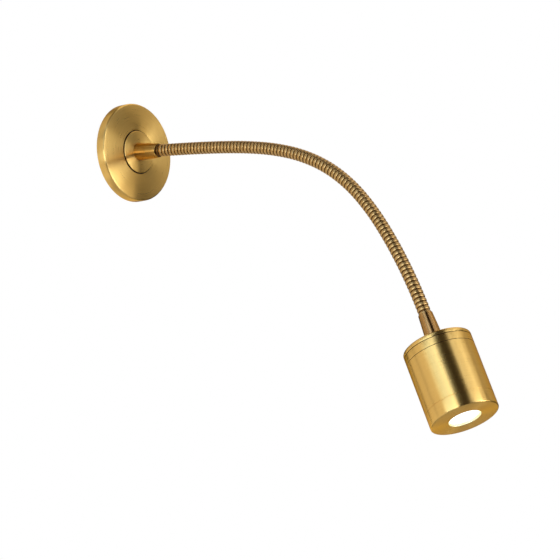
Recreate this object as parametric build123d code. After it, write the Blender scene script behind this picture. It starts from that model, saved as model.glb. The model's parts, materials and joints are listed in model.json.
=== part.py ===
from build123d import *
import os
from math import cos, radians, sin

# Bedside wall reading lamp: a round wall plate, a gooseneck and a spot head, all in brass.
# Millimetres. The origin is the middle of the wall plate's back, +Z is up, and the wall is the
# plane y = 0, so the lamp stands out towards -Y. The neck bends in the plane x = 0.

# Wall plate: a turned cup that hides the bracket
PLATE_R = 40.0
PLATE_RIM_DEPTH = 8.1
PLATE_RISE = 0.7  # the face climbs this much from the rim to the hole
PLATE_WALL = 1.5
PLATE_EDGE_ROUND = 1.3
PLATE_HOLE_R = 18.0
MAGNET_R = 4.0
MAGNET_THICKNESS = 2.0
MAGNET_INSET = 8.0  # from the bracket's edge to the magnets' centres
MAGNET_COUNT = 3
MAGNET_POST_RIM = 0.6  # the post is this much larger than the magnet all round

# Mounting bracket: a pressed steel disc with a raised seat in the middle
BRACKET_CLEAR = 1.5  # between the bracket's edge and the plate's wall
BRACKET_THICKNESS = 1.5
SEAT_R = 16.0
SEAT_FLARE = 3.0
BRACKET_HOLE_R = 9.0
SLOT_INSET = 7.0  # from the bracket's edge to the middle of a slot
SLOT_LENGTH = 9.0
SLOT_WIDTH = 4.5

# Earth screw and its washer, at the top of the bracket
EARTH_CLEAR = 2.6  # between the washer and the bracket's raised seat
EARTH_SCREW_R = 2.0
EARTH_HEAD_R = 3.8
EARTH_HEAD_HEIGHT = 2.4
EARTH_WASHER_R = 4.4
EARTH_WASHER_THICKNESS = 0.8
EARTH_TIP_GAP = 0.3  # the tip stays this far off the wall

# Boss in the middle of the plate, which carries the neck
BOSS_R = 17.3
BOSS_THICKNESS = 4.3
BOSS_FACE = 9.8  # distance of its face from the wall
BOSS_EDGE_ROUND = 0.4
BOSS_SCREW_R = 1.25
BOSS_SCREW_HEAD_R = 2.25
BOSS_SCREW_HEAD_HEIGHT = 1.5
BOSS_SCREW_BITE = 3.0
BOSS_SCREW_INSET = 4.2  # from the edge of the bracket's seat
BOSS_SCREW_COUNT = 3

# Wall ferrule: it leaves the boss a little below square, in a spot face
NECK_TILT = 5.0
FERRULE_LENGTH = 21.5
FERRULE_ROOT_R = 7.1
FERRULE_MOUTH_R = 5.75
FERRULE_MOUTH_ROUND = 0.35
STUD_R = 4.0
CLAMPED_THICKNESS = 2.6  # boss metal left between the two spot faces
NUT_FLATS = 13.0
NUT_THICKNESS = 2.5
WASHER_R = 6.3
WASHER_THICKNESS = 0.6
WASHER_NOTCHES = 8
WASHER_NOTCH_WIDTH = 1.0
WASHER_NOTCH_DEPTH = 0.9
STUD_BEYOND_NUT = 0.8

# Gooseneck: twelve links, each bent evenly by its own angle, as the neck is set in the photograph
LINK_TURNS = (0.5, 0.8, 1.6, 3.4, 6.1, 8.9, 10.7, 10.1, 7.1, 4.5, 3.8, 3.8)
NECK_R = 5.0
RIB_PITCH = 3.53
RIBS_PER_LINK = 8
GROOVE_R = 4.3
GROOVE_WIDTH = 0.5
RIB_SLOPE = 0.45  # length over which a rib rises from its groove
NECK_BORE_R = 2.5
BALL_R = 3.6
BALL_STEM_R = 3.2
BEND_LIMIT = 25.0  # most that two links turn against each other
BEND_GAP = 0.3  # left between the links at that limit
SOCKET_DEPTH = 6.0  # how far the neck's plain ends go into the two ferrules
RIBS_COVERED = 2.7  # ribbed length inside the wall ferrule's mouth
NECK_BARE = 1.0  # plain end of the neck that shows above the head ferrule

# Cable inside the neck
CABLE_R = 2.0
CABLE_BREAK = 0.4  # gap between two lengths of cable at the limit of a bend
CABLE_STEPS = 4
CABLE_TAIL = 0.4
GRIP_R = 3.5
GRIP_LENGTH = 1.6
GRIP_GAP = 0.1

# Head ferrule
HEAD_FERRULE_LENGTH = 25.0
HEAD_FERRULE_MOUTH_R = 5.5
HEAD_FERRULE_ROOT_R = 6.9
SPIGOT_R = 5.0
SPIGOT_LENGTH = 9.0
HEAD_NUT_FLATS = 14.0
HEAD_NUT_THICKNESS = 3.5
HEAD_WASHER_R = 8.0
HEAD_WASHER_THICKNESS = 0.7

# Head, measured along its own axis from the top face of the cap
HEAD_R = 26.25
HEAD_LENGTH = 61.75
HEAD_WALL = 2.15
CAP_HEIGHT = 9.9
CAP_ROUND = 1.8
CAP_TOP_THICKNESS = 3.0
CAP_GROOVE_AT = 3.8
CAP_GROOVE_WIDTH = 0.5
CAP_GROOVE_DEPTH = 0.5
CAP_SEAM_BEVEL = 0.2
THREAD_LENGTH = 6.0  # of the cap and of the bezel inside the barrel
THREAD_WALL = 1.8
BEZEL_HEIGHT = 10.95
BEZEL_SEAM_BEVEL = 0.15
BEZEL_FACE_THICKNESS = 1.6
BEZEL_EDGE_ROUND = 1.0
APERTURE_R = 12.3
APERTURE_BEVEL = 0.4

# Light: glass, gasket, optic, its holder and the emitter on its board
GLASS_R = 14.2
GLASS_THICKNESS = 2.0
GASKET_WIDTH = 1.4
GASKET_THICKNESS = 1.35
HOLDER_FLANGE_THICKNESS = 1.9
HOLDER_RIM_HEIGHT = 1.4
HOLDER_WALL = 1.2
HOLDER_FOOT_R = 5.6
OPTIC_RIM_R = 12.8
OPTIC_SEAT_WIDTH = 0.5
OPTIC_AIR = 0.4  # between the optic's cone and the holder's
EMITTER_R = 4.4
EMITTER_THICKNESS = 1.0
EMITTER_AIR = 0.3
LED_BOARD_R = 12.5
LED_BOARD_THICKNESS = 1.6
PAD_THICKNESS = 0.5
LED_SCREW_R = 1.0
LED_SCREW_HEAD_R = 1.9
LED_SCREW_HEAD_HEIGHT = 1.3
LED_SCREW_BITE = 3.0
LED_SCREW_CIRCLE_R = 10.0
LED_DROP = 12.2  # from the board's face to the front of the optic
LEAD_R = 0.6
LEAD_HOLE_R = 0.75
LEAD_SPACING = 2.0
LEAD_CIRCLE_R = 9.5
LEAD_STUB = 0.3

# Heat sink
SINK_BASE_THICKNESS = 4.0
SINK_FIN_THICKNESS = 1.4
SINK_FIN_COUNT = 12
SINK_HUB_R = 5.0
SINK_FIN_CLEAR = 1.6  # between the fins and the barrel

# Driver in its case
CASE_CLEAR = 0.75  # between the case and the cap's thread
CASE_BELOW_GRIP = 3.8  # from the cord grip in the cap to the case's lid
CASE_WALL = 1.2
CASE_HEIGHT = 14.0
CASE_POST_R = 2.0
CASE_POST_INSET = 3.8  # from the case's wall to the middle of a post
CASE_POST_COUNT = 3
CASE_POST_HEIGHT = 0.9
DRIVER_BOARD_CLEAR = 0.5  # between the board and the case's wall
DRIVER_BOARD_THICKNESS = 1.6
TRANSFORMER_SIZE = 9.0
TRANSFORMER_INSET = 8.3  # from the board's edge to its middle
CAPACITOR_R = 4.0
CAPACITOR_HEIGHT = 8.5
CAPACITOR_INSET = 7.8  # from the board's edge to its middle
TERMINAL_WIDTH = 8.0
TERMINAL_DEPTH = 7.0
TERMINAL_HEIGHT = 5.0

# Cross recess in every screw head, as shares of the head's radius and height
RECESS_SPAN = 1.2
RECESS_WIDTH = 0.3
RECESS_DEPTH = 0.55

# Clearances
SEAT_GAP = 0.05  # radial, between a piece and what it is fixed in
JOINT_GAP = 0.15  # radial, between a ball and its socket
DROP_IN_GAP = 0.2  # round a piece that is dropped into its place
HOLE_GAP = 0.3  # round a cable, nut or screw head
BLIND_GAP = 0.2  # at the bottom of a blind hole


def disc(radius, low, high):
    """Cylinder about the local Z axis between two heights."""
    return Pos(0, 0, low) * Cylinder(radius, high - low, align=(Align.CENTER, Align.CENTER, Align.MIN))


def turned(*outline):
    """Solid turned about the local Z axis from (radius, height) corners."""
    return revolve(Plane.XZ * make_face(Polyline(*outline, close=True)), Axis.Z)


def ring(inner, outer, low, high):
    """Flat ring about the local Z axis."""
    return turned((inner, low), (outer, low), (outer, high), (inner, high))


def hexagon(flats, low, high):
    """Hexagonal prism about the local Z axis."""
    section = RegularPolygon(flats / 2, 6, major_radius=False)
    return Pos(0, 0, low) * extrude(section, high - low)


def rim_of(solid, radius, height):
    """Circular edges of one radius about the local Z axis at one height."""
    circles = solid.edges().filter_by(GeomType.CIRCLE)
    return [e for e in circles if abs(e.radius - radius) < 0.01 and abs(e.arc_center.Z - height) < 0.01]


def around(count, radius, first_angle):
    """Places evenly spaced on a circle about the local Z axis."""
    return PolarLocations(radius, count, start_angle=first_angle)


def joined(solid, tools):
    """The solid with every tool added."""
    for tool in tools:
        solid = solid + tool
    return solid


def pierced(solid, tools):
    """The solid with every tool taken away."""
    for tool in tools:
        solid = solid - tool
    return solid


def headed_screw(shank_r, head_r, head_height, length):
    """Screw with its head above the local origin, a cross recess in it, and its shank below."""
    slot = Box(RECESS_SPAN * head_r, RECESS_WIDTH * head_r, 2 * RECESS_DEPTH * head_height)
    recess = [Pos(0, 0, head_height) * Rot(0, 0, turn) * slot for turn in (0, 90)]
    return pierced(disc(shank_r, -length, 0) + disc(head_r, 0, head_height), recess)


def toothed_washer(bore_r, outer_r, low, thickness):
    """Lock washer with notches round its rim."""
    notch = Box(2 * WASHER_NOTCH_DEPTH, WASHER_NOTCH_WIDTH, 4 * thickness)
    notches = [place * notch for place in around(WASHER_NOTCHES, outer_r, 0)]
    return pierced(ring(bore_r, outer_r, low, low + thickness), [Pos(0, 0, low) * n for n in notches])


# Frames: the local Z axis points away from the wall, or along the neck towards the head
wall = Location(Plane(origin=(0, 0, 0), x_dir=(1, 0, 0), z_dir=(0, -1, 0)))
boss_back = BOSS_FACE - BOSS_THICKNESS
stud = wall * Pos(0, 0, BOSS_FACE) * Rot(NECK_TILT, 0, 0)
link_length = RIB_PITCH * RIBS_PER_LINK
shoulder_gap = GROOVE_R * sin(radians(BEND_LIMIT)) + BEND_GAP
socket_r = BALL_R + JOINT_GAP
socket_bore_r = NECK_R + SEAT_GAP
neck_start = FERRULE_LENGTH - RIBS_COVERED
bracket_r = PLATE_R - PLATE_WALL - BRACKET_CLEAR
magnet_circle_r = bracket_r - MAGNET_INSET
boss_screw_circle_r = SEAT_R - BOSS_SCREW_INSET
earth_circle_r = SEAT_R + SEAT_FLARE + EARTH_CLEAR + EARTH_WASHER_R


def along(start, turn, distance):
    """Frame at a distance along a link that turns evenly about its own X axis."""
    swing = turn * distance / link_length
    half = radians(swing) / 2
    chord = distance * sin(half) / half if half else distance
    return start * Pos(0, -chord * sin(half), chord * cos(half)) * Rot(swing, 0, 0)


def chain_frames():
    """Frame at the start of each link and at the end of the last one."""
    frames = [stud * Pos(0, 0, neck_start)]
    for turn in LINK_TURNS:
        frames.append(along(frames[-1], turn, link_length))
    return frames


joints = chain_frames()
head_socket = joints[-1] * Pos(0, 0, NECK_BARE)
head = head_socket * Pos(0, 0, HEAD_FERRULE_LENGTH)


def hose(start, turn, marks):
    """Ruled skin through circles given as (distance along the link, radius)."""
    return loft([along(start, turn, distance) * Circle(radius) for distance, radius in marks], ruled=True)


def rib_marks(length):
    """Four circles for each rib of a link whose ribbed part has this length."""
    marks = [(0.0, GROOVE_R)]
    for rib in range(RIBS_PER_LINK):
        low = rib * RIB_PITCH + GROOVE_WIDTH / 2
        high = min((rib + 1) * RIB_PITCH - GROOVE_WIDTH / 2, length)
        marks += [(low, GROOVE_R), (low + RIB_SLOPE, NECK_R), (high - RIB_SLOPE, NECK_R), (high, GROOVE_R)]
    if length > marks[-1][0]:
        marks.append((length, GROOVE_R))
    return marks


def even_marks(low, high, radius):
    """Circles of one radius, evenly spaced between two distances."""
    step = (high - low) / CABLE_STEPS
    return [(low + step * i, radius) for i in range(CABLE_STEPS + 1)]


def neck_link(index):
    """One link: a socket or a fixed tail at its start, ribs, and a ball or a fixed tail at its end."""
    start, end, turn = joints[index], joints[index + 1], LINK_TURNS[index]
    first, last = index == 0, index == len(LINK_TURNS) - 1
    ribbed = link_length if last else link_length - shoulder_gap
    tail = SOCKET_DEPTH - BLIND_GAP
    body = hose(start, turn, rib_marks(ribbed))
    if last:
        body += end * disc(NECK_R, 0, NECK_BARE + tail)
    else:
        body += end * disc(BALL_STEM_R, -shoulder_gap - RIB_SLOPE, 0)
        body += end * Sphere(BALL_R)
    if first:
        body += start * disc(NECK_R, -tail, 0)
    else:
        body -= start * Sphere(socket_r)
    body -= hose(start, turn, even_marks(0, link_length, NECK_BORE_R))
    body -= start * disc(NECK_BORE_R, -SOCKET_DEPTH, 0)
    body -= end * disc(NECK_BORE_R, 0, NECK_BARE + SOCKET_DEPTH)
    return body


def cable_reach():
    """How far a length of cable goes past a pivot, and where the next one starts after it."""
    past = BALL_R * cos(radians(BEND_LIMIT)) - BLIND_GAP
    corner = (past**2 + CABLE_R**2) ** 0.5
    return past, corner + CABLE_BREAK


def cable_length(index):
    """The cable inside one link, with the stretch in a ferrule where the link is fixed."""
    start, end, turn = joints[index], joints[index + 1], LINK_TURNS[index]
    past, after = cable_reach()
    first, last = index == 0, index == len(LINK_TURNS) - 1
    low = 0.0 if first else after
    body = hose(start, turn, even_marks(low, link_length, CABLE_R))
    if first:
        body += start * disc(CABLE_R, -neck_start - stud_below_face - GRIP_GAP - GRIP_LENGTH - CABLE_TAIL, 0)
    ending = NECK_BARE + HEAD_FERRULE_LENGTH + terminal_top if last else past
    body += end * disc(CABLE_R, 0, ending)
    return body


# Wall side -----------------------------------------------------------------------------------

stud_seat = -FERRULE_ROOT_R * sin(radians(NECK_TILT)) - SEAT_GAP
back_seat = stud_seat - CLAMPED_THICKNESS
nut_low = back_seat - WASHER_THICKNESS - NUT_THICKNESS
stud_below_face = -(nut_low - STUD_BEYOND_NUT)
nut_corner_r = NUT_FLATS / 2 / cos(radians(30))


def wall_plate():
    rim, hole = PLATE_RIM_DEPTH, PLATE_RIM_DEPTH + PLATE_RISE
    inner_r = PLATE_R - PLATE_WALL
    shell = turned(
        (PLATE_HOLE_R, hole),
        (PLATE_R, rim),
        (PLATE_R, 0),
        (inner_r, 0),
        (inner_r, rim - PLATE_WALL),
        (PLATE_HOLE_R, hole - PLATE_WALL),
    )
    shell = fillet(rim_of(shell, PLATE_R, rim), PLATE_EDGE_ROUND)
    post = disc(MAGNET_R + MAGNET_POST_RIM, BRACKET_THICKNESS + MAGNET_THICKNESS, rim - PLATE_WALL / 2)
    return wall * joined(shell, [place * post for place in around(MAGNET_COUNT, magnet_circle_r, 30)])


def plate_magnets():
    magnet = disc(MAGNET_R, BRACKET_THICKNESS, BRACKET_THICKNESS + MAGNET_THICKNESS)
    return wall * Compound([place * magnet for place in around(MAGNET_COUNT, magnet_circle_r, 30)])


def mounting_bracket():
    thick = BRACKET_THICKNESS
    disc_and_seat = turned(
        (BRACKET_HOLE_R, boss_back),
        (SEAT_R, boss_back),
        (SEAT_R + SEAT_FLARE, thick),
        (bracket_r, thick),
        (bracket_r, 0),
        (SEAT_R + SEAT_FLARE - thick, 0),
        (SEAT_R - thick, boss_back - thick),
        (BRACKET_HOLE_R, boss_back - thick),
    )
    slot = extrude(SlotOverall(SLOT_LENGTH, SLOT_WIDTH), thick * 2, both=True)
    slots = [Pos(side * (bracket_r - SLOT_INSET), 0, 0) * slot for side in (-1, 1)]
    hole = disc(BOSS_SCREW_R + DROP_IN_GAP, 0, BOSS_FACE)
    holes = [place * hole for place in around(BOSS_SCREW_COUNT, boss_screw_circle_r, 90)]
    earth = Pos(0, earth_circle_r, 0) * disc(EARTH_SCREW_R + SEAT_GAP, -thick, 2 * thick)
    return wall * pierced(disc_and_seat, slots + holes + [earth])


def earth_screw():
    under_head = BRACKET_THICKNESS + EARTH_WASHER_THICKNESS
    screw = headed_screw(EARTH_SCREW_R, EARTH_HEAD_R, EARTH_HEAD_HEIGHT, under_head - EARTH_TIP_GAP)
    return wall * Pos(0, earth_circle_r, under_head) * screw


def earth_washer():
    washer = ring(EARTH_SCREW_R + SEAT_GAP, EARTH_WASHER_R, 0, EARTH_WASHER_THICKNESS)
    return wall * Pos(0, earth_circle_r, BRACKET_THICKNESS) * washer


def neck_boss():
    body = disc(BOSS_R, boss_back, BOSS_FACE)
    body = fillet(rim_of(body, BOSS_R, BOSS_FACE), BOSS_EDGE_ROUND)
    body = wall * body
    screw_hole = disc(BOSS_SCREW_R + SEAT_GAP, boss_back, boss_back + BOSS_SCREW_BITE + BLIND_GAP)
    body = pierced(body, [wall * place * screw_hole for place in around(BOSS_SCREW_COUNT, boss_screw_circle_r, 90)])
    front = stud * disc(FERRULE_ROOT_R + SEAT_GAP, stud_seat, BOSS_FACE)
    back = stud * disc(nut_corner_r + HOLE_GAP, -BOSS_FACE, back_seat)
    middle = stud * disc(STUD_R + SEAT_GAP, -BOSS_FACE, BOSS_FACE)
    return pierced(body, [front, back, middle])


def boss_screws():
    under_head = boss_back - BRACKET_THICKNESS
    shank = BRACKET_THICKNESS + BOSS_SCREW_BITE
    screw = Pos(0, 0, under_head) * Rot(180, 0, 0) * headed_screw(
        BOSS_SCREW_R, BOSS_SCREW_HEAD_R, BOSS_SCREW_HEAD_HEIGHT, shank
    )
    return wall * Compound([place * screw for place in around(BOSS_SCREW_COUNT, boss_screw_circle_r, 90)])


def wall_ferrule():
    socket_floor = neck_start - SOCKET_DEPTH
    body = turned(
        (NECK_BORE_R, -stud_below_face),
        (STUD_R, -stud_below_face),
        (STUD_R, stud_seat),
        (FERRULE_ROOT_R, stud_seat),
        (FERRULE_MOUTH_R, FERRULE_LENGTH),
        (socket_bore_r, FERRULE_LENGTH),
        (socket_bore_r, socket_floor),
        (NECK_BORE_R, socket_floor),
    )
    return stud * fillet(rim_of(body, FERRULE_MOUTH_R, FERRULE_LENGTH), FERRULE_MOUTH_ROUND)


def lock_washer():
    return stud * toothed_washer(STUD_R + SEAT_GAP, WASHER_R, back_seat - WASHER_THICKNESS, WASHER_THICKNESS)


def lock_nut():
    nut = hexagon(NUT_FLATS, nut_low, nut_low + NUT_THICKNESS)
    return stud * (nut - disc(STUD_R + SEAT_GAP, nut_low - 1, nut_low + NUT_THICKNESS + 1))


def cord_grip(high):
    """Crimped collar on the cable, below a height of the local frame."""
    return ring(CABLE_R, GRIP_R, high - GRIP_LENGTH, high)


# Head side -----------------------------------------------------------------------------------

barrel_bore_r = HEAD_R - HEAD_WALL
thread_r = barrel_bore_r - SEAT_GAP
thread_bore_r = thread_r - THREAD_WALL
bezel_top = HEAD_LENGTH - BEZEL_HEIGHT
glass_back = HEAD_LENGTH - BEZEL_FACE_THICKNESS - GLASS_THICKNESS
optic_front = glass_back - GASKET_THICKNESS
led_face = optic_front - LED_DROP
pad_face = led_face - LED_BOARD_THICKNESS
sink_face = pad_face - PAD_THICKNESS
sink_back = sink_face - SINK_BASE_THICKNESS
case_top = SPIGOT_LENGTH + GRIP_GAP + GRIP_LENGTH + CASE_BELOW_GRIP
case_floor = case_top + CASE_HEIGHT
fin_height = sink_back - case_floor
fin_r = barrel_bore_r - SINK_FIN_CLEAR
case_r = thread_bore_r - CASE_CLEAR
case_bore_r = case_r - CASE_WALL
driver_board_r = case_bore_r - DRIVER_BOARD_CLEAR
driver_board_back = case_floor - CASE_WALL - CASE_POST_HEIGHT
driver_face = driver_board_back - DRIVER_BOARD_THICKNESS
terminal_top = driver_face - TERMINAL_HEIGHT
rim_seat = optic_front - HOLDER_RIM_HEIGHT
cone_top_r = OPTIC_RIM_R - OPTIC_SEAT_WIDTH


def leads(tool):
    """The same tool at both wires between the driver and the emitter's board."""
    return [Pos(side * LEAD_SPACING / 2, LEAD_CIRCLE_R, 0) * tool for side in (-1, 1)]


def head_ferrule():
    body = turned(
        (socket_bore_r, 0),
        (HEAD_FERRULE_MOUTH_R, 0),
        (HEAD_FERRULE_ROOT_R, HEAD_FERRULE_LENGTH),
        (SPIGOT_R, HEAD_FERRULE_LENGTH),
        (SPIGOT_R, HEAD_FERRULE_LENGTH + SPIGOT_LENGTH),
        (NECK_BORE_R, HEAD_FERRULE_LENGTH + SPIGOT_LENGTH),
        (NECK_BORE_R, SOCKET_DEPTH),
        (socket_bore_r, SOCKET_DEPTH),
    )
    return head_socket * body


def head_washer():
    return head * toothed_washer(SPIGOT_R + SEAT_GAP, HEAD_WASHER_R, CAP_TOP_THICKNESS, HEAD_WASHER_THICKNESS)


def head_nut():
    low = CAP_TOP_THICKNESS + HEAD_WASHER_THICKNESS
    nut = hexagon(HEAD_NUT_FLATS, low, low + HEAD_NUT_THICKNESS)
    return head * (nut - disc(SPIGOT_R + SEAT_GAP, 0, SPIGOT_LENGTH))


def head_cap():
    hole_r = SPIGOT_R + SEAT_GAP
    threaded_to = CAP_HEIGHT + THREAD_LENGTH
    body = turned(
        (hole_r, 0),
        (HEAD_R, 0),
        (HEAD_R, CAP_HEIGHT),
        (thread_r, CAP_HEIGHT),
        (thread_r, threaded_to),
        (thread_bore_r, threaded_to),
        (thread_bore_r, CAP_TOP_THICKNESS),
        (hole_r, CAP_TOP_THICKNESS),
    )
    body = fillet(rim_of(body, HEAD_R, 0), CAP_ROUND)
    body = chamfer(rim_of(body, HEAD_R, CAP_HEIGHT), CAP_SEAM_BEVEL)
    groove_low = CAP_GROOVE_AT - CAP_GROOVE_WIDTH / 2
    return head * (body - ring(HEAD_R - CAP_GROOVE_DEPTH, HEAD_R + 1, groove_low, groove_low + CAP_GROOVE_WIDTH))


def head_barrel():
    body = ring(barrel_bore_r, HEAD_R, CAP_HEIGHT, bezel_top)
    body = chamfer(rim_of(body, HEAD_R, CAP_HEIGHT), CAP_SEAM_BEVEL)
    return head * chamfer(rim_of(body, HEAD_R, bezel_top), BEZEL_SEAM_BEVEL)


def front_bezel():
    face_back = HEAD_LENGTH - BEZEL_FACE_THICKNESS
    body = turned(
        (thread_r, bezel_top - THREAD_LENGTH),
        (thread_r, bezel_top),
        (HEAD_R, bezel_top),
        (HEAD_R, HEAD_LENGTH),
        (APERTURE_R, HEAD_LENGTH),
        (APERTURE_R, face_back),
        (thread_bore_r, face_back),
        (thread_bore_r, bezel_top - THREAD_LENGTH),
    )
    body = chamfer(rim_of(body, HEAD_R, bezel_top), BEZEL_SEAM_BEVEL)
    body = chamfer(rim_of(body, APERTURE_R, HEAD_LENGTH), APERTURE_BEVEL)
    return head * fillet(rim_of(body, HEAD_R, HEAD_LENGTH), BEZEL_EDGE_ROUND)


def window_glass():
    return head * disc(GLASS_R, glass_back, glass_back + GLASS_THICKNESS)


def window_gasket():
    return head * ring(GLASS_R - GASKET_WIDTH, GLASS_R, optic_front, glass_back)


def optic_lens():
    foot = led_face + EMITTER_THICKNESS + EMITTER_AIR
    grow = (cone_top_r - HOLDER_FOOT_R) / (rim_seat - led_face)
    foot_r = HOLDER_FOOT_R + grow * (foot - led_face) - OPTIC_AIR
    body = turned(
        (0, foot),
        (foot_r, foot),
        (cone_top_r - OPTIC_AIR, rim_seat),
        (OPTIC_RIM_R, rim_seat),
        (OPTIC_RIM_R, optic_front),
        (0, optic_front),
    )
    return head * body


def lens_holder():
    flange_r = thread_bore_r - DROP_IN_GAP
    flange_low = optic_front - HOLDER_FLANGE_THICKNESS
    body = turned(
        (HOLDER_FOOT_R, led_face),
        (HOLDER_FOOT_R + HOLDER_WALL, led_face),
        (OPTIC_RIM_R + HOLDER_WALL, flange_low),
        (flange_r, flange_low),
        (flange_r, optic_front),
        (OPTIC_RIM_R + SEAT_GAP, optic_front),
        (OPTIC_RIM_R + SEAT_GAP, rim_seat),
        (cone_top_r, rim_seat),
    )
    return head * body


def led_emitter():
    return head * disc(EMITTER_R, led_face, led_face + EMITTER_THICKNESS)


def led_board():
    body = disc(LED_BOARD_R, pad_face, led_face)
    screw_hole = disc(LED_SCREW_R + DROP_IN_GAP, pad_face - 1, led_face + 1)
    screws = [place * screw_hole for place in around(2, LED_SCREW_CIRCLE_R, 0)]
    return head * pierced(body, screws + leads(disc(LEAD_HOLE_R, pad_face - 1, led_face + 1)))


def thermal_pad():
    body = disc(LED_BOARD_R, sink_face, pad_face)
    screw_hole = disc(LED_SCREW_R + DROP_IN_GAP, sink_face - 1, pad_face + 1)
    screws = [place * screw_hole for place in around(2, LED_SCREW_CIRCLE_R, 0)]
    return head * pierced(body, screws + leads(disc(LEAD_HOLE_R, sink_face - 1, pad_face + 1)))


def led_screws():
    length = LED_BOARD_THICKNESS + PAD_THICKNESS + LED_SCREW_BITE
    screw = Pos(0, 0, led_face) * headed_screw(LED_SCREW_R, LED_SCREW_HEAD_R, LED_SCREW_HEAD_HEIGHT, length)
    return head * Compound([place * screw for place in around(2, LED_SCREW_CIRCLE_R, 0)])


def heat_sink():
    outer_r = barrel_bore_r - DROP_IN_GAP
    stop = bezel_top - THREAD_LENGTH
    body = turned(
        (0, case_floor),
        (SINK_HUB_R, case_floor),
        (SINK_HUB_R, sink_back),
        (outer_r, sink_back),
        (outer_r, stop),
        (thread_bore_r, stop),
        (thread_bore_r, sink_face),
        (0, sink_face),
    )
    inner = SINK_HUB_R - SINK_FIN_THICKNESS
    fin = Pos((inner + fin_r) / 2, 0, (case_floor + sink_back) / 2) * Box(
        fin_r - inner, SINK_FIN_THICKNESS, fin_height
    )
    half_step = 180 / SINK_FIN_COUNT
    body = joined(body, [Rot(0, 0, half_step * (2 * i + 1)) * fin for i in range(SINK_FIN_COUNT)])
    bite = disc(LED_SCREW_R + SEAT_GAP, sink_face - LED_SCREW_BITE - BLIND_GAP, sink_face + 1)
    screws = [place * bite for place in around(2, LED_SCREW_CIRCLE_R, 0)]
    return head * pierced(body, screws + leads(disc(LEAD_HOLE_R, sink_back, sink_face + 1)))


def led_leads():
    return head * Compound(leads(disc(LEAD_R, driver_board_back, led_face + LEAD_STUB)))


def driver_case():
    body = disc(case_r, case_top + CASE_WALL, case_floor) - disc(case_bore_r, 0, case_floor - CASE_WALL)
    post = disc(CASE_POST_R, driver_board_back, case_floor - CASE_WALL / 2)
    body = joined(body, [place * post for place in around(CASE_POST_COUNT, case_bore_r - CASE_POST_INSET, 30)])
    return head * pierced(body, leads(disc(LEAD_HOLE_R, case_top, case_floor + 1)))


def driver_lid():
    lid = disc(case_r, case_top, case_top + CASE_WALL)
    return head * (lid - disc(CABLE_R + HOLE_GAP, 0, case_floor))


def driver_board():
    return head * disc(driver_board_r, driver_face, driver_board_back)


def driver_transformer():
    size = TRANSFORMER_SIZE
    return head * Pos(TRANSFORMER_INSET - driver_board_r, 0, driver_face - size / 2) * Box(size, size, size)


def driver_capacitor():
    return head * Pos(driver_board_r - CAPACITOR_INSET, 0, 0) * disc(CAPACITOR_R, driver_face - CAPACITOR_HEIGHT, driver_face)


def driver_terminal():
    middle = (terminal_top + driver_face) / 2
    return head * Pos(0, 0, middle) * Box(TERMINAL_WIDTH, TERMINAL_DEPTH, TERMINAL_HEIGHT)


def pieces():
    """Every node's name and solid."""
    made = {
        "wall_plate": wall_plate(),
        "plate_magnets": plate_magnets(),
        "mounting_bracket": mounting_bracket(),
        "earth_screw": earth_screw(),
        "earth_washer": earth_washer(),
        "neck_boss": neck_boss(),
        "boss_screws": boss_screws(),
        "wall_ferrule": wall_ferrule(),
        "lock_washer": lock_washer(),
        "lock_nut": lock_nut(),
        "wall_cord_grip": stud * cord_grip(-stud_below_face - GRIP_GAP),
        "head_ferrule": head_ferrule(),
        "head_washer": head_washer(),
        "head_nut": head_nut(),
        "head_cord_grip": head * cord_grip(SPIGOT_LENGTH + GRIP_GAP + GRIP_LENGTH),
        "head_cap": head_cap(),
        "head_barrel": head_barrel(),
        "front_bezel": front_bezel(),
        "window_glass": window_glass(),
        "window_gasket": window_gasket(),
        "optic_lens": optic_lens(),
        "lens_holder": lens_holder(),
        "led_emitter": led_emitter(),
        "led_board": led_board(),
        "thermal_pad": thermal_pad(),
        "led_screws": led_screws(),
        "heat_sink": heat_sink(),
        "led_leads": led_leads(),
        "driver_case": driver_case(),
        "driver_lid": driver_lid(),
        "driver_board": driver_board(),
        "driver_transformer": driver_transformer(),
        "driver_capacitor": driver_capacitor(),
        "driver_terminal": driver_terminal(),
    }
    for index in range(len(LINK_TURNS)):
        made[f"neck_{index + 1:02d}"] = neck_link(index)
        made[f"cable_{index + 1:02d}"] = cable_length(index)
    return made


os.makedirs("parts", exist_ok=True)
for name, solid in pieces().items():
    export_step(solid, f"parts/{name}.step")
for number, frame in enumerate(joints):
    print("joint", number, frame.position, frame.orientation)
print("head", head.position, head.orientation)
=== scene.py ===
"""Bedside wall reading lamp: the finished pieces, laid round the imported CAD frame.

Metres, in the frame of the CAD parts: +Z is up, the wall is the plane y = 0 and the lamp stands out
towards -Y. The neck bends in the plane x = 0.
"""

import json
import math

import bmesh
import bpy
from bpy.props import FloatProperty, FloatVectorProperty, PointerProperty
from bpy.types import Operator, Panel, PropertyGroup
from mathutils import Matrix, Vector

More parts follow.
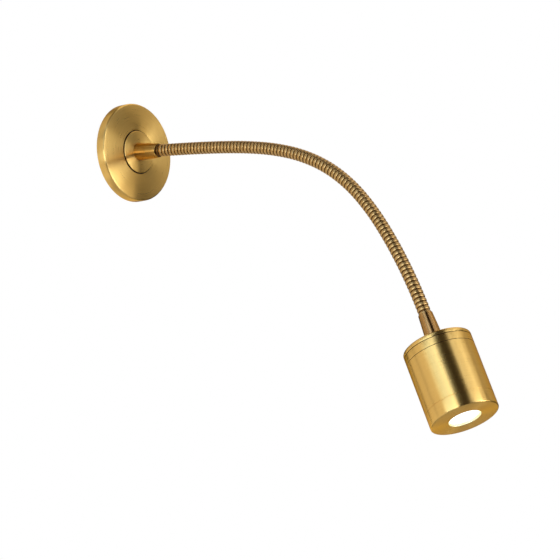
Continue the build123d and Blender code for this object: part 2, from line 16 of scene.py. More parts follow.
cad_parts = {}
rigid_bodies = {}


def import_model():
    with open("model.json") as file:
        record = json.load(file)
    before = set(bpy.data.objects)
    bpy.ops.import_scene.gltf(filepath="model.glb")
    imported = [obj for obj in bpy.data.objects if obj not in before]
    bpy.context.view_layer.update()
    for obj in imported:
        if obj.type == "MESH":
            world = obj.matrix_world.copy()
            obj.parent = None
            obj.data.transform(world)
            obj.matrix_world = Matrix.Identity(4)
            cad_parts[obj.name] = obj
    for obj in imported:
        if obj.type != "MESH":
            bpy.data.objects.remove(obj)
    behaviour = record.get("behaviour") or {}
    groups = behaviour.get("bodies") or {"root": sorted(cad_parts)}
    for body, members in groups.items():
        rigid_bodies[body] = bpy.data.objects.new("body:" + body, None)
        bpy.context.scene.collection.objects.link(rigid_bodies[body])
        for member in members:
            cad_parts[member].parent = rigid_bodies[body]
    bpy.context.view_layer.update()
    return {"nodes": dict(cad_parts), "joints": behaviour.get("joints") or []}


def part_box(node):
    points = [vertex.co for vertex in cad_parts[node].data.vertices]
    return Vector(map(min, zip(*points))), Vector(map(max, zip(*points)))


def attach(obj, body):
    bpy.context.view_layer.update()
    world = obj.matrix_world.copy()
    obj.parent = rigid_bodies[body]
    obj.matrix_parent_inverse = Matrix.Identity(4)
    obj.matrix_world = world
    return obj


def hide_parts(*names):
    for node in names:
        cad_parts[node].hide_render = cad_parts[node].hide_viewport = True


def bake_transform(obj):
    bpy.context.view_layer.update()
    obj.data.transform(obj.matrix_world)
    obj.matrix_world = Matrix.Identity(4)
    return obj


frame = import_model()

bl_info = {
    "name": "Bedside wall reading lamp",
    "version": (1, 0, 0),
    "blender": (4, 5, 0),
    "location": "3D View > Sidebar > Reading Lamp",
    "description": "Models and finishes a brass gooseneck reading lamp round its CAD frame",
    "category": "Add Mesh",
}

MM = 0.001

# Sizes and places that the CAD source fixes, in metres. The boss's face and the neck:
BOSS_FACE = 9.8 * MM
NECK_TILT = math.radians(5.0)
FERRULE_LENGTH = 21.5 * MM
RIBS_COVERED = 2.7 * MM  # ribbed length inside the wall ferrule's mouth
NECK_START = FERRULE_LENGTH - RIBS_COVERED
LINK_TURNS = (0.5, 0.8, 1.6, 3.4, 6.1, 8.9, 10.7, 10.1, 7.1, 4.5, 3.8, 3.8)  # degrees, wall to head
RIB_PITCH = 3.53 * MM
RIBS_PER_LINK = 8
LINK_LENGTH = RIBS_PER_LINK * RIB_PITCH
FIRST_CREST = 0.6 * MM  # from the neck's start to the middle of the first rib
PAINTED_SHADE_RIB = (2.6 * MM, 5.9 * MM)  # stretch after the neck's start, just out of the wall ferrule's mouth, painted whole in the patina's brown as painted shade
NECK_BARE = 1.0 * MM  # of the neck above the head ferrule
HEAD_FERRULE_LENGTH = 25.0 * MM
SOCKET_DEPTH = 6.0 * MM
NECK_IN_SOCKET = 5.8 * MM  # how far the neck goes into the socket of each ferrule
BORE_R = 2.5 * MM
CABLE_R = 2.0 * MM
CABLE_BEHIND_FERRULE = 8.46 * MM  # from the boss's face to the cable's end
CABLE_IN_HEAD = 19.8 * MM  # from the cap's top to the driver's terminal
PATH_SPARE = 60.0 * MM  # straight ends of the path that the neck and the cable are laid along
PIVOT_MISS = 0.1 * MM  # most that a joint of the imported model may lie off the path

# The wall plate and the boss. Heights are above the wall.
PLATE_HOLE_R = 18.0 * MM
PLATE_WALL = 1.5 * MM
PLATE_RISE = 0.7 * MM  # the face climbs this much from the rim to the hole
POST_R = 4.6 * MM
POST_FACE = 3.5 * MM
POST_ROOT = 7.35 * MM
POST_CIRCLE = 29.0 * MM
POST_DEGREES = (30, 150, 270)
BOSS_BACK = 5.5 * MM
BOSS_HOLE_R = 4.05 * MM
POCKET_MOUTH = 4.0 * MM  # beyond the boss's face, so that the pocket's cutter comes out of it

# The ferrules. Heights are above the boss's face, along the stud.
STUD_R = 4.0 * MM
STUD_END = -7.17 * MM
FERRULE_SEAT = -0.67 * MM
MOUTH_ROUND = 0.35 * MM
FLARE_R = 0.2 * MM  # the wall ferrule's mouth opens by this much over FLARE_LENGTH
FLARE_LENGTH = 0.5 * MM
SPIGOT_R = 5.0 * MM
SPIGOT_LENGTH = 9.0 * MM

# The head. Depths are below the cap's top, and walls and threads lie in from the outside.
CAP_TOP_THICKNESS = 3.0 * MM
CAP_HOLE_R = 5.05 * MM
CAP_GROOVE_AT = 3.8 * MM
CAP_END = 9.9 * MM
BEZEL_TOP = 50.8 * MM
HEAD_TIP = 61.75 * MM
BEZEL_FACE_BACK = HEAD_TIP - 1.6 * MM
APERTURE_ROUND = 0.4 * MM
WINDOW_BACK = 58.15 * MM
WINDOW_FRONT = 60.15 * MM
WINDOW_R = 14.2 * MM
BARREL_WALL = 2.15 * MM
THREAD_IN = 2.2 * MM
THREAD_BORE_IN = 4.0 * MM
THREAD_LENGTH = 6.0 * MM
CAP_SEAM = 0.2 * MM  # bevels on both sides of a seam
BEZEL_SEAM = 0.15 * MM

# Roundings, from the finest to the largest, and gaps:
SHARP = 0.06 * MM
KEEN = 0.1 * MM
CRISP = 0.15 * MM
BROKEN = 0.2 * MM
SOFT = 0.3 * MM
LEAD_IN = 0.4 * MM
FIT = 0.05 * MM  # between a piece and what it goes into
NEAR = 0.05 * MM  # how far from a radius a face that belongs to it may lie
SUNK = 0.02 * MM  # a face deeper than this under the head's outside belongs to a groove or a seam
FLUSH = 0.01 * MM  # a face nearer than this to the bezel's front belongs to the front

# Roundness of what is turned or ribbed
ROUND_SIDES = 160
DISC_SIDES = 96
POST_SIDES = 40
NECK_SIDES = 40
RIB_SIDES = 16  # of a whole circle, of which a rib is the outer half
CABLE_SIDES = 24
CABLE_STEPS = 8
PATH_STEPS = 24
BEVEL_STEPS = 4
SMOOTH_ANGLE = math.radians(35)
TINY = 1e-6

# Finish
EDGE_TINT = (0.85, 0.55, 0.22)  # brass stays golden where it is seen along its surface
RING_WIDTH = 0.7 * MM  # real rings are 0.05 mm wide, but a pixel covers 0.8 mm
ARCS_PER_RADIAN = 1.6  # how often a ring changes its tone on its way round
GLOW_RIM = (9.5 * MM, 12.6 * MM)  # radii between which the window turns from white to pale yellow


# Modelling ------------------------------------------------------------------------------------


def linear(hex_colour):
    """Linear RGB of an sRGB hex colour."""
    parts = [int(hex_colour[i : i + 2], 16) / 255 for i in (1, 3, 5)]
    return tuple(p / 12.92 if p <= 0.04045 else ((p + 0.055) / 1.055) ** 2.4 for p in parts)


def to_object_mode():
    if bpy.context.object and bpy.context.object.mode != "OBJECT":
        bpy.ops.object.mode_set(mode="OBJECT")


def only(piece):
    """Makes this the one selected and active object."""
    to_object_mode()
    bpy.ops.object.select_all(action="DESELECT")
    piece.select_set(True)
    bpy.context.view_layer.objects.active = piece


def named(name):
    """The active object, under its final name."""
    piece = bpy.context.object
    piece.name = name
    piece.data.name = name
    return piece


def pick(mode, wanted):
    """In edit mode, selects the vertices, edges or faces that wanted accepts, and nothing else."""
    bpy.ops.mesh.select_mode(type=mode)
    bpy.ops.mesh.select_all(action="DESELECT")
    mesh = bpy.context.edit_object.data
    edited = bmesh.from_edit_mesh(mesh)
    items = {"VERT": edited.verts, "EDGE": edited.edges, "FACE": edited.faces}[mode]
    found = [item for item in items if wanted(item)]
    if not found:
        raise RuntimeError(f"{bpy.context.object.name}: nothing to select")
    for item in found:
        item.select_set(True)
    edited.select_flush_mode()
    bmesh.update_edit_mesh(mesh)


def on_ring(radius, height):
    """Test for an edge that lies on a circle about the Z axis."""

    def fits(edge):
        return all(
            abs(math.hypot(v.co.x, v.co.y) - radius) < TINY and abs(v.co.z - height) < TINY
            for v in edge.verts
        )

    return fits


def faces_on(place, inner, outer, low=0.0, high=1.0):
    """Test for a face whose middle lies between two radii and two heights about the Z axis of a place."""
    to_place = place.inverted()

    def fits(face):
        middle = to_place @ face.calc_center_median()
        return inner < math.hypot(middle.x, middle.y) < outer and low < middle.z < high

    return fits


def finish_mesh(piece, place=None):
    """Puts a piece in its place, origin and all, and shades it."""
    only(piece)
    if place is not None:
        piece.matrix_world = place
        bpy.ops.object.transform_apply(location=True, rotation=True, scale=True)
    bpy.ops.object.mode_set(mode="EDIT")
    bpy.ops.mesh.select_all(action="SELECT")
    bpy.ops.mesh.remove_doubles(threshold=TINY)
    bpy.ops.mesh.normals_make_consistent(inside=False)
    bpy.ops.object.mode_set(mode="OBJECT")
    bpy.ops.object.shade_smooth_by_angle(angle=SMOOTH_ANGLE)
    return piece


def turn(name, outline, place, sides=ROUND_SIDES):
    """A turned piece. A circle is drawn out round the corners of the piece's half section, given as
    (radius, height) or (radius, height, rounding). An outline that starts and ends on the axis is closed
    there, and any other one is joined from its end to its start."""
    corners = [c for c in outline if c[0] > 0]
    solid = len(corners) < len(outline)
    to_object_mode()
    bpy.ops.object.select_all(action="DESELECT")
    bpy.ops.mesh.primitive_circle_add(vertices=sides, radius=corners[0][0], location=(0, 0, 0))
    piece = named(name)
    bpy.ops.object.mode_set(mode="EDIT")
    bpy.ops.mesh.select_all(action="SELECT")
    bpy.ops.transform.translate(value=(0, 0, corners[0][1]))
    for last, this in zip(corners, corners[1:]):
        bpy.ops.mesh.extrude_edges_move(TRANSFORM_OT_translate={"value": (0, 0, this[1] - last[1])})
        grow = this[0] / last[0]
        bpy.ops.transform.resize(value=(grow, grow, 1), center_override=(0, 0, this[1]))
    if solid:
        for end in (corners[0], corners[-1]):
            pick("EDGE", on_ring(end[0], end[1]))
            bpy.ops.mesh.edge_face_add()
    else:
        first, last = on_ring(*corners[0][:2]), on_ring(*corners[-1][:2])
        pick("EDGE", lambda edge: first(edge) or last(edge))
        bpy.ops.mesh.bridge_edge_loops()
    for corner in corners:
        if len(corner) > 2:
            pick("EDGE", on_ring(corner[0], corner[1]))
            bpy.ops.mesh.bevel(offset=corner[2], segments=BEVEL_STEPS, affect="EDGES", clamp_overlap=False)
    bpy.ops.object.mode_set(mode="OBJECT")
    return finish_mesh(piece, place)


def cut_with(piece, cutter, operation="DIFFERENCE"):
    """Cuts or joins one piece with another, which is then gone."""
    only(piece)
    bpy.ops.object.modifier_add(type="BOOLEAN")
    modifier = piece.modifiers[-1]
    modifier.operation = operation
    modifier.object = cutter
    modifier.solver = "EXACT"
    bpy.ops.object.modifier_apply(modifier=modifier.name)
    bpy.data.objects.remove(cutter)
    finish_mesh(piece)


# Places ---------------------------------------------------------------------------------------

ON_WALL = Matrix.Rotation(math.radians(90), 4, "X")
ON_STUD = ON_WALL @ Matrix.Translation((0, 0, BOSS_FACE)) @ Matrix.Rotation(NECK_TILT, 4, "X")


def link_end(start, turn_degrees):
    """Place at the end of a link that turns evenly from its start."""
    half = math.radians(turn_degrees) / 2
    chord = LINK_LENGTH * math.sin(half) / half
    step = Matrix.Translation((0, -chord * math.sin(half), chord * math.cos(half)))
    return start @ step @ Matrix.Rotation(2 * half, 4, "X")


def neck_places():
    """Places of the neck's start, of each joint and of its end."""
    places = [ON_STUD @ Matrix.Translation((0, 0, NECK_START))]
    for degrees in LINK_TURNS:
        places.append(link_end(places[-1], degrees))
    return places


PLACES = neck_places()
ON_HEAD_FERRULE = PLACES[-1] @ Matrix.Translation((0, 0, NECK_BARE))
ON_HEAD = ON_HEAD_FERRULE @ Matrix.Translation((0, 0, HEAD_FERRULE_LENGTH))


def check_joints():
    """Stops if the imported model's joints aren't on the path that the neck follows."""
    for joint, place in zip(frame["joints"], PLACES[1:]):
        if (Vector(joint["pos_m"]) - place.translation).length > PIVOT_MISS:
            raise RuntimeError(f"{joint['name']} is off the neck's path: LINK_TURNS isn't the CAD source's")


# Materials ------------------------------------------------------------------------------------


def add(tree, kind, settings=None, **inputs):
    """A node with its settings, and a value or another node's output for each named input."""
    node = tree.nodes.new(kind)
    for name, value in (settings or {}).items():
        setattr(node, name, value)
    for name, value in inputs.items():
        socket = node.inputs[int(name[1:])] if name[0] == "i" and name[1:].isdigit() else node.inputs[name]
        if isinstance(value, bpy.types.NodeSocket):
            tree.links.new(value, socket)
        else:
            socket.default_value = value
    return node


def new_material(name):
    """An empty material, its node tree and its output node."""
    material = bpy.data.materials.new(name)
    material.use_nodes = True
    tree = material.node_tree
    tree.nodes.clear()
    return material, tree, tree.nodes.new("ShaderNodeOutputMaterial")


def shader(tree, out, **inputs):
    """The material's Principled shader, joined to its output."""
    names = {name.replace("_", " ").title(): value for name, value in inputs.items()}
    node = add(tree, "ShaderNodeBsdfPrincipled", None, **names)
    tree.links.new(node.outputs[0], out.inputs["Surface"])
    return node


def dress_some(piece, material, wanted):
    """Gives the faces that wanted accepts another material than the rest of the piece."""
    only(piece)
    piece.data.materials.append(material)
    bpy.ops.object.mode_set(mode="EDIT")
    pick("FACE", wanted)
    piece.active_material_index = len(piece.data.materials) - 1
    bpy.ops.object.material_slot_assign()
    bpy.ops.object.mode_set(mode="OBJECT")


def dress(piece, material):
    """Gives a piece, or a CAD node by its name, one material."""
    target = frame["nodes"][piece] if isinstance(piece, str) else piece
    target.data.materials.clear()
    target.data.materials.append(material)


def surface_coords(tree):
    """The position of each point of the piece."""
    return add(tree, "ShaderNodeTexCoord").outputs["Object"]


def vector_math(tree, operation, *values, result="Vector", **named_values):
    """What a vector operation gives."""
    inputs = {f"i{index}": value for index, value in enumerate(values)}
    node = add(tree, "ShaderNodeVectorMath", {"operation": operation}, **inputs, **named_values)
    return node.outputs[result]


def noise(tree, coords, size, detail):
    """A value that wanders between 0 and 1, in patches about as wide as size."""
    return add(tree, "ShaderNodeTexNoise", None, Vector=coords, Scale=1 / size, Detail=detail).outputs[0]


def bumps(tree, height, strength, distance):
    """The normals of a surface whose height follows a value."""
    return add(tree, "ShaderNodeBump", None, Strength=strength, Distance=distance, Height=height).outputs[0]


def ramp(tree, value, low, high):
    """A value from 0 to 1 turned into a number between two limits."""
    return add(tree, "ShaderNodeMapRange", None, Value=value, **{"To Min": low, "To Max": high}).outputs[0]


def mix(tree, factor, first, second):
    """A colour between two colours."""
    node = add(tree, "ShaderNodeMix", {"data_type": "RGBA"}, Factor=factor, i6=first, i7=second)
    return node.outputs[2]


def about_axis(tree, coords, place):
    """Each point as a piece's own axis has it: how high it is, its offset from the axis, and its radius."""
    local = add(
        tree,
        "ShaderNodeMapping",
        {"vector_type": "TEXTURE"},
        Vector=coords,
        Location=place.translation,
        Rotation=place.to_euler(),
    ).outputs[0]
    axes = add(tree, "ShaderNodeSeparateXYZ", None, i0=local).outputs
    offset = add(tree, "ShaderNodeCombineXYZ", None, X=axes["X"], Y=axes["Y"]).outputs[0]
    return axes["Z"], offset, vector_math(tree, "LENGTH", offset, result="Value")


def lathe_marks(tree, place):
    """Fine rings left by a lathe and broken into arcs: a value from 0 to 1, and the direction in which the
    rings run at each point."""
    coords = surface_coords(tree)
    height, offset, radius = about_axis(tree, coords, place)
    heading = vector_math(tree, "NORMALIZE", offset)
    spread = vector_math(tree, "SCALE", heading, Scale=ARCS_PER_RADIAN)
    parts = add(tree, "ShaderNodeSeparateXYZ", None, i0=spread).outputs
    scaled_r = add(tree, "ShaderNodeMath", {"operation": "DIVIDE"}, i0=radius, i1=RING_WIDTH).outputs[0]
    scaled_z = add(tree, "ShaderNodeMath", {"operation": "DIVIDE"}, i0=height, i1=RING_WIDTH).outputs[0]
    where = add(tree, "ShaderNodeCombineXYZ", None, X=scaled_r, Y=scaled_z, Z=parts["X"]).outputs[0]
    marks = add(
        tree,
        "ShaderNodeTexNoise",
        {"noise_dimensions": "4D"},
        Vector=where,
        W=parts["Y"],
        Scale=1.0,
        Detail=3.0,
        Roughness=0.65,
    ).outputs[0]
    axis = place.to_3x3() @ Vector((0, 0, 1))
    arm = vector_math(tree, "SUBTRACT", coords, place.translation)
    around = vector_math(tree, "CROSS_PRODUCT", axis, arm)
    world = add(
        tree,
        "ShaderNodeVectorTransform",
        {"vector_type": "VECTOR", "convert_from": "OBJECT", "convert_to": "WORLD"},
        Vector=around,
    ).outputs[0]
    return marks, world


def brushed_brass(name, place, light, deep):
    """Brass brushed on the lathe and lacquered: fine rings round the piece's own axis pull every highlight
    out across them, so a disc shows bright and dark fans and a barrel shows long bands."""
    material, tree, out = new_material(name)
    marks, along = lathe_marks(tree, place)
    shader(
        tree,
        out,
        base_color=mix(tree, marks, (*deep, 1), (*light, 1)),
        metallic=1.0,
        roughness=ramp(tree, marks, 0.24, 0.34),
        anisotropic=0.93,
        anisotropic_rotation=0.25,
        tangent=along,
        normal=bumps(tree, marks, 0.1, 0.005 * MM),
        specular_tint=(*EDGE_TINT, 1),
        coat_weight=0.2,
        coat_roughness=0.2,
    )
    return material


def painted_shade_brass(name, colours):
    """Brass in a groove or a narrow gap, painted matt dark brown as the shade that falls there, with specks
    of dust in its tone.
    """
    material, tree, out = new_material(name)
    # Dust lies in specks of about 0.3 mm
    dust = noise(tree, surface_coords(tree), 0.3 * MM, 3.0)
    deep = tuple(0.6 * channel for channel in colours.groove)
    shader(
        tree,
        out,
        base_color=mix(tree, dust, (*deep, 1), (*colours.groove, 1)),
        metallic=0.8,
        roughness=ramp(tree, dust, 0.5, 0.65),
    )
    return material


def neck_brass(colours):
    """Antiqued brass of the gooseneck: the crests are rubbed bright, and the brown patina stays in the
    grooves between the ribs."""
    material, tree, out = new_material("wound_antique_brass")
    crest = add(tree, "ShaderNodeAttribute", {"attribute_name": "crest"}).outputs["Fac"]
    coords = surface_coords(tree)
    # Patina gathers in patches about 4 mm wide, over a grain of 0.5 mm
    patches = noise(tree, coords, 4 * MM, 4.0)
    grain = noise(tree, coords, 0.5 * MM, 2.0)
    # The same brown paints the stretch just out of the wall ferrule's mouth as painted shade
    brown = (*colours.neck_patina, 1)
    rubbed = mix(tree, patches, (*colours.neck_deep, 1), (*colours.neck_light, 1))
    # The patina ends part of the way up each rib
    limits = {"From Min": 0.15, "From Max": 0.75}
    rise = add(tree, "ShaderNodeMapRange", None, Value=crest, **limits).outputs[0]
    shader(
        tree,
        out,
        base_color=mix(tree, rise, brown, rubbed),
        metallic=1.0,
        roughness=ramp(tree, patches, 0.3, 0.44),
        normal=bumps(tree, grain, 0.4, 0.02 * MM),
    )
    return material


def plain_finish(name, light, deep, roughness, grain, metallic=1.0):
    """A metal, plastic or rubber with an even grain: light and deep tones in small patches, and roughness
    that follows them."""
    material, tree, out = new_material(name)
    tones = noise(tree, surface_coords(tree), grain, 5.0)
    shader(
        tree,
        out,
        base_color=mix(tree, tones, (*linear(deep), 1), (*linear(light), 1)),
        metallic=metallic,
        roughness=ramp(tree, tones, roughness - 0.06, roughness + 0.06),
        normal=bumps(tree, tones, 0.3, 0.02 * MM),
    )
    return material


def glowing_window(colours):
    """Frosted glass lit from behind by the warm white emitter: white in the middle and pale yellow at the
    rim."""
    material, tree, out = new_material("frosted_glass_lit")
    coords = surface_coords(tree)
    _, _, radius = about_axis(tree, coords, ON_HEAD)
    limits = {"From Min": GLOW_RIM[0], "From Max": GLOW_RIM[1]}
    smooth = {"interpolation_type": "SMOOTHSTEP"}
    rim = add(tree, "ShaderNodeMapRange", smooth, Value=radius, **limits).outputs[0]
    # The frost has a grain of 0.4 mm
    frost = noise(tree, coords, 0.4 * MM, 3.0)
    shader(
        tree,
        out,
        base_color=(*linear("#F4F1E6"), 1),
        roughness=0.35,
        normal=bumps(tree, frost, 0.15, 0.02 * MM),
        emission_color=mix(tree, rim, (*colours.glow_middle, 1), (*colours.glow_rim, 1)),
        emission_strength=1.3,
    )
    return material


def pale_floor():
    """Painted board, matt and faintly uneven. The camera sees it evenly lit, like a backdrop."""
    material, tree, out = new_material("painted_pale_floor")
    # The roller leaves patches about 40 mm wide
    patches = noise(tree, surface_coords(tree), 40 * MM, 5.0)
    paint = mix(tree, patches, (*linear("#F0EFEC"), 1), (*linear("#F5F4F2"), 1))
    board = shader(tree, out, base_color=paint, roughness=0.8)
    even = add(tree, "ShaderNodeEmission", None, Color=paint, Strength=1.0)
    camera_ray = add(tree, "ShaderNodeLightPath").outputs["Is Camera Ray"]
    both = add(tree, "ShaderNodeMixShader", None, i0=camera_ray, i1=board.outputs[0], i2=even.outputs[0])
    tree.links.new(both.outputs[0], out.inputs["Surface"])
    return material


# What a user would change ---------------------------------------------------------------------


def length(name, description, millimetres):
    return FloatProperty(name=name, description=description, default=millimetres * MM, min=0, unit="LENGTH")


def angle(name, description, degrees):
    return FloatProperty(name=name, description=description, default=math.radians(degrees), unit="ROTATION")


def colour(name, description, hex_colour):
    return FloatVectorProperty(
        name=name, description=description, default=linear(hex_colour), size=3, subtype="COLOR", min=0, max=1
    )


class LampSizes(PropertyGroup):
    plate_edge: length("Plate edge", "Rounding of the wall plate's outer edge", 1.3)
    boss_edge: length("Boss edge", "Rounding of the boss's edge", 0.4)
    ferrule_root: length("Ferrule root", "Radius of the wall ferrule at the boss", 7.1)
    ferrule_mouth: length("Ferrule mouth", "Radius of the wall ferrule at the neck", 5.75)
    head_ferrule_mouth: length("Head ferrule mouth", "Radius of the head ferrule at the neck", 5.5)
    head_ferrule_root: length("Head ferrule root", "Radius of the head ferrule at the cap", 6.9)
    neck_radius: length("Neck radius", "Radius over the crests of the gooseneck", 5.0)
    groove_radius: length("Groove radius", "Radius at the bottom of the gooseneck's grooves", 4.3)
    groove_width: length("Groove width", "Width of the gap between two ribs of the gooseneck", 0.5)
    cap_round: length("Cap rounding", "Rounding of the head's top edge", 1.8)
    cap_groove: length("Cap groove", "Width and depth of the groove round the cap", 0.5)
    bezel_edge: length("Bezel edge", "Rounding of the head's lower edge", 1.0)
    aperture: length("Aperture", "Radius of the round opening for the light", 12.3)


class LampColours(PropertyGroup):
    brass_light: colour("Brass, light", "Bright tone of the brushed brass", "#F1C26C")
    brass_deep: colour("Brass, deep", "Deep tone of the brushed brass", "#DEAE58")
    ferrule_light: colour("Ferrule, light", "Bright tone of the wall ferrule", "#C5974A")
    ferrule_deep: colour("Ferrule, deep", "Deep tone of the wall ferrule", "#B58335")
    bronze_light: colour("Head ferrule, light", "Bright tone of the head ferrule", "#BC8D52")
    bronze_deep: colour("Head ferrule, deep", "Deep tone of the head ferrule", "#AD7B3C")
    # Painted shade: the dark brown given to grooves and gaps
    groove: colour("Groove", "Painted shade in grooves and gaps", "#5C3A12")
    neck_light: colour("Neck, light", "Rubbed crests of the gooseneck", "#D8AC6A")
    neck_deep: colour("Neck, deep", "Duller patches on the crests", "#A57C42")
    neck_patina: colour("Neck, patina", "Brown left in the gooseneck's grooves", "#6A4720")
    glow_middle: colour("Glow, middle", "Light in the middle of the window", "#FFFDF6")
    glow_rim: colour("Glow, rim", "Light at the window's rim", "#FFE9A0")


class StudioSettings(PropertyGroup):
    azimuth: angle("Azimuth", "Way round the lamp to the camera", -49.967)
    elevation: angle("Elevation", "Camera above the horizon", -9.515)
    distance: length("Distance", "From the camera to the point that it aims at", 2033.75)
    aim_out: length("Aim, out", "How far off the wall the camera aims", 159.48)
    aim_down: length("Aim, down", "How far under the wall plate the camera aims", 122.1)
    lens: FloatProperty(name="Lens", description="Focal length", default=169.44, unit="CAMERA")
    floor_drop: length("Floor", "How far the floor is under the wall plate", 2400.0)
    backdrop: colour("Backdrop", "What the camera sees behind the lamp", "#FFFFFF")


class ReadingLamp(PropertyGroup):
    sizes: PointerProperty(type=LampSizes)
    colours: PointerProperty(type=LampColours)
    studio: PointerProperty(type=StudioSettings)


# Pieces ---------------------------------------------------------------------------------------


class LAMP_OT_wall_plate(Operator):
    """Turn the wall plate, with its three magnet posts, and the boss in its middle"""

    bl_idname = "lamp.wall_plate"
    bl_label = "Wall Plate and Boss"

    def execute(self, context):
        lamp = context.scene.reading_lamp
        sizes, colours = lamp.sizes, lamp.colours
        low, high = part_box("wall_plate")
        outer, hole_face = high.x, -low.y
        rim_face = hole_face - PLATE_RISE
        plate = turn(
            "wall_plate_brass",
            [
                (PLATE_HOLE_R, hole_face, CRISP),
                (outer, rim_face, sizes.plate_edge),
                (outer, 0, BROKEN),
                (outer - PLATE_WALL, 0, BROKEN),
                (outer - PLATE_WALL, rim_face - PLATE_WALL, SOFT),
                (PLATE_HOLE_R, hole_face - PLATE_WALL, CRISP),
            ],
            ON_WALL,
        )
        outline = [(0, POST_FACE), (POST_R, POST_FACE, BROKEN), (POST_R, POST_ROOT), (0, POST_ROOT)]
        for degrees in POST_DEGREES:
            turned = ON_WALL @ Matrix.Rotation(math.radians(degrees), 4, "Z")
            post = turn("post", outline, turned @ Matrix.Translation((POST_CIRCLE, 0, 0)), POST_SIDES)
            cut_with(plate, post, "UNION")
        boss_r, boss_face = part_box("neck_boss")[1].x, -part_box("neck_boss")[0].y
        boss = turn(
            "neck_boss_brass",
            [
                (BOSS_HOLE_R, boss_face),
                (boss_r, boss_face, sizes.boss_edge),
                (boss_r, BOSS_BACK),
                (BOSS_HOLE_R, BOSS_BACK),
            ],
            ON_WALL,
        )
        pocket_r = sizes.ferrule_root + FIT
        outline = [(0, FERRULE_SEAT), (pocket_r, FERRULE_SEAT), (pocket_r, POCKET_MOUTH), (0, POCKET_MOUTH)]
        cut_with(boss, turn("pocket", outline, ON_STUD, DISC_SIDES))
        brass = brushed_brass("brushed_brass_plate", ON_WALL, colours.brass_light, colours.brass_deep)
        # The hole's wall and the boss's side are painted dark brown: painted shade in the gap between them
        gap = painted_shade_brass("painted_shade_brass_gap", colours)
        for piece, node, side in ((plate, "wall_plate", PLATE_HOLE_R), (boss, "neck_boss", boss_r)):
            dress(piece, brass)
            dress_some(piece, gap, faces_on(ON_WALL, side - NEAR, side + NEAR))
            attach(piece, "wall_base")
            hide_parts(node)
        return {"FINISHED"}


class LAMP_OT_ferrules(Operator):
    """Turn the conical ferrules at the wall and at the head"""

    bl_idname = "lamp.ferrules"
    bl_label = "Ferrules"

    def execute(self, context):
        lamp = context.scene.reading_lamp
        sizes, colours = lamp.sizes, lamp.colours
        socket = sizes.neck_radius + FIT
        wall = turn(
            "wall_ferrule_brass",
            [
                (BORE_R, STUD_END),
                (STUD_R, STUD_END, LEAD_IN),
                (STUD_R, FERRULE_SEAT),
                (sizes.ferrule_root, FERRULE_SEAT),
                (sizes.ferrule_mouth, FERRULE_LENGTH, MOUTH_ROUND),
                (socket + FLARE_R, FERRULE_LENGTH),
                (socket, FERRULE_LENGTH - FLARE_LENGTH),
                (socket, NECK_START - SOCKET_DEPTH),
                (BORE_R, NECK_START - SOCKET_DEPTH),
            ],
            ON_STUD,
        )
        end = HEAD_FERRULE_LENGTH + SPIGOT_LENGTH
        head = turn(
            "head_ferrule_brass",
            [
                (socket, 0),
                (sizes.head_ferrule_mouth, 0, BROKEN),
                (sizes.head_ferrule_root, HEAD_FERRULE_LENGTH, KEEN),
                (SPIGOT_R, HEAD_FERRULE_LENGTH),
                (SPIGOT_R, end, LEAD_IN),
                (BORE_R, end),
                (BORE_R, SOCKET_DEPTH),
                (socket, SOCKET_DEPTH),
            ],
            ON_HEAD_FERRULE,
        )
        amber = (colours.ferrule_light, colours.ferrule_deep)
        bronze = (colours.bronze_light, colours.bronze_deep)
        for piece, node, body, place, tones in (
            (wall, "wall_ferrule", "wall_base", ON_STUD, amber),
            (head, "head_ferrule", "head", ON_HEAD_FERRULE, bronze),
        ):
            dress(piece, brushed_brass("brushed_brass_" + node, place, *tones))
            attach(piece, body)
            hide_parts(node)
        return {"FINISHED"}


def laid_path():
    """A curve along the neck: one arc for each link, and a straight run before and after them."""
    before = PLACES[0] @ Matrix.Translation((0, 0, -PATH_SPARE))
    after = PLACES[-1] @ Matrix.Translation((0, 0, PATH_SPARE))
    stops = [before, *PLACES, after]
    arms = [PATH_SPARE / 3]
    for degrees in LINK_TURNS:
        # With arms of this length a Bezier segment follows an arc
        bend = math.radians(degrees)
        arms.append(4 / 3 * math.tan(bend / 4) * LINK_LENGTH / bend)
    arms.append(PATH_SPARE / 3)
    path = bpy.data.curves.new("neck_path", "CURVE")
    path.dimensions = "3D"
    spline = path.splines.new("BEZIER")
    spline.bezier_points.add(len(stops) - 1)
    spline.resolution_u = PATH_STEPS
    for index, (point, place) in enumerate(zip(spline.bezier_points, stops)):
        point.handle_left_type = point.handle_right_type = "FREE"
        heading = place.to_3x3() @ Vector((0, 0, 1))
        point.co = place.translation
        point.handle_left = point.co - heading * arms[max(index - 1, 0)]
        point.handle_right = point.co + heading * arms[min(index, len(arms) - 1)]
    laid = bpy.data.objects.new("neck_path", path)
    bpy.context.scene.collection.objects.link(laid)
    return laid


def lay(piece, path):
    """Bends a straight piece, modelled up the Z axis, along the neck's path."""
    only(piece)
    bpy.ops.object.modifier_add(type="CURVE")
    modifier = piece.modifiers[-1]
    modifier.object = path
    modifier.deform_axis = "POS_Z"
    bpy.ops.object.modifier_apply(modifier=modifier.name)
    finish_mesh(piece)


def stations():
    """Heights on the straight neck where it is cut: its start, the middle of every link and its end."""
    start = PATH_SPARE - NECK_IN_SOCKET
    end = PATH_SPARE + len(LINK_TURNS) * LINK_LENGTH + NECK_BARE + NECK_IN_SOCKET
    middles = [PATH_SPARE + (index + 0.5) * LINK_LENGTH for index in range(len(LINK_TURNS))]
    return [start, *middles, end]


def ride_along(piece, index):
    """Lets the first piece ride with the first joint's parent and a piece past the last joint ride with that
    joint's child; any other piece stays where it is laid, on no joint.
    """
    joints = frame["joints"]
    if index == 0:
        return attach(piece, joints[0]["parent"])
    if index > len(joints):
        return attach(piece, joints[-1]["child"])
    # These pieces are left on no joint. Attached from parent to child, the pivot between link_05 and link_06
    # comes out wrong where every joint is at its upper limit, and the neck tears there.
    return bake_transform(piece)


def links_of(index):
    """Numbers of the CAD links that the piece between two stations stands for."""
    return sorted({max(index, 1), min(index + 1, len(LINK_TURNS))})


